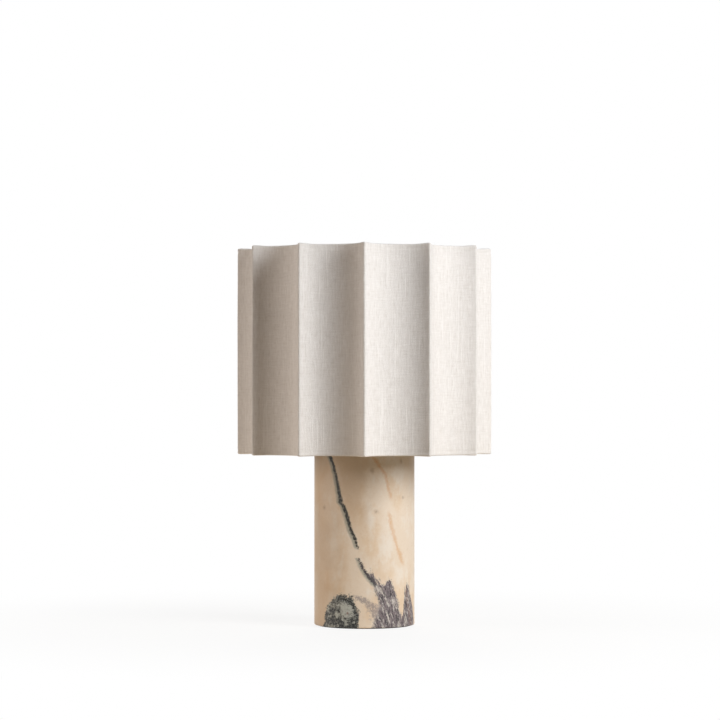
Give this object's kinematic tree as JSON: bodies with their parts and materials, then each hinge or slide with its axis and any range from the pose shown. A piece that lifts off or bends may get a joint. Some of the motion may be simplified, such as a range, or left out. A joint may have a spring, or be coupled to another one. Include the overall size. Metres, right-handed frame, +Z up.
{
  "type": "column table lamp",
  "caption": "Table lamp with a plain stone cylinder for a column and a scalloped linen drum shade that turns on a wire harp and lifts off.",
  "frame": {"origin": "centre of the felt underside, on the surface that the lamp stands on", "axes": "+Z up along the column, -Y to the front, +X to the right seen from the front"},
  "size_m": [0.3042, 0.3042, 0.45],
  "materials": {
    "marble": "honed",
    "felt": "felt",
    "plated_steel": "zinc plated",
    "black_plastic": "matte",
    "brass": "brushed",
    "brass_wire": "plated",
    "linen": "slub weave",
    "styrene": "satin",
    "white_wire": "powder coat",
    "card": "plain",
    "phenolic": "moulded",
    "aluminium": "rolled",
    "opal": "satin opal",
    "lamp_plastic": "moulded"
  },
  "bodies": {
    "lamp": {"marble_column": "marble", "felt_pad": "felt", "base_cover": "plated_steel", "cord_gland": "black_plastic", "threaded_rod": "plated_steel", "clamp_washer": "plated_steel", "lock_washer": "plated_steel", "foot_nut": "plated_steel", "top_nut": "brass", "column_cap": "brass", "brass_neck": "brass", "harp_saddle": "brass_wire", "holder_cap": "brass", "set_screw": "plated_steel", "holder_shell": "brass", "insulating_sleeve": "card", "holder_block": "phenolic", "terminal_screws": "brass", "screw_shell": "aluminium", "centre_contact": "brass"},
    "harp": {"harp": "brass_wire"},
    "ferrule_left": {"ferrule_left": "brass"},
    "ferrule_right": {"ferrule_right": "brass"},
    "swivel": {"harp_swivel": "brass"},
    "shade": {"shade_linen": "linen", "shade_liner": "styrene", "top_ring": "white_wire", "bottom_ring": "white_wire", "spider_arms": "white_wire", "spider_hub": "white_wire"},
    "finial": {"finial": "brass"},
    "bulb": {"bulb_contact": "plated_steel", "bulb_insulator": "phenolic", "bulb_screw_cap": "aluminium", "bulb_collar": "lamp_plastic", "bulb_globe": "opal"},
    "switch": {"switch_shaft": "brass", "switch_knob": "phenolic"}
  },
  "joints": [
    {"name": "harp_lift", "type": "slide", "parent": "lamp", "child": "harp", "axis": [0, 0, 1], "range_m": [0, 0.03]},
    {"name": "shade_turn", "type": "hinge", "parent": "harp", "child": "swivel", "pos_m": [0, 0, 0.42], "axis": [0, 0, 1], "continuous": true},
    {"name": "shade_lift", "type": "slide", "parent": "swivel", "child": "shade", "axis": [0, 0, 1], "range_m": [0, 0.24]},
    {"name": "finial_lift", "type": "slide", "parent": "shade", "child": "finial", "axis": [0, 0, 1], "range_m": [0, 0.016]},
    {"name": "ferrule_left_slide", "type": "slide", "parent": "harp", "child": "ferrule_left", "axis": [0, 0, 1], "range_m": [0, 0.012]},
    {"name": "ferrule_right_slide", "type": "slide", "parent": "harp", "child": "ferrule_right", "axis": [0, 0, 1], "range_m": [0, 0.012]},
    {"name": "bulb_lift", "type": "slide", "parent": "lamp", "child": "bulb", "axis": [0, 0, 1], "range_m": [0, 0.03]},
    {"name": "switch_turn", "type": "hinge", "parent": "lamp", "child": "switch", "pos_m": [0, -0.03, 0.26075], "axis": [0, -1, 0], "continuous": true}
  ]
}
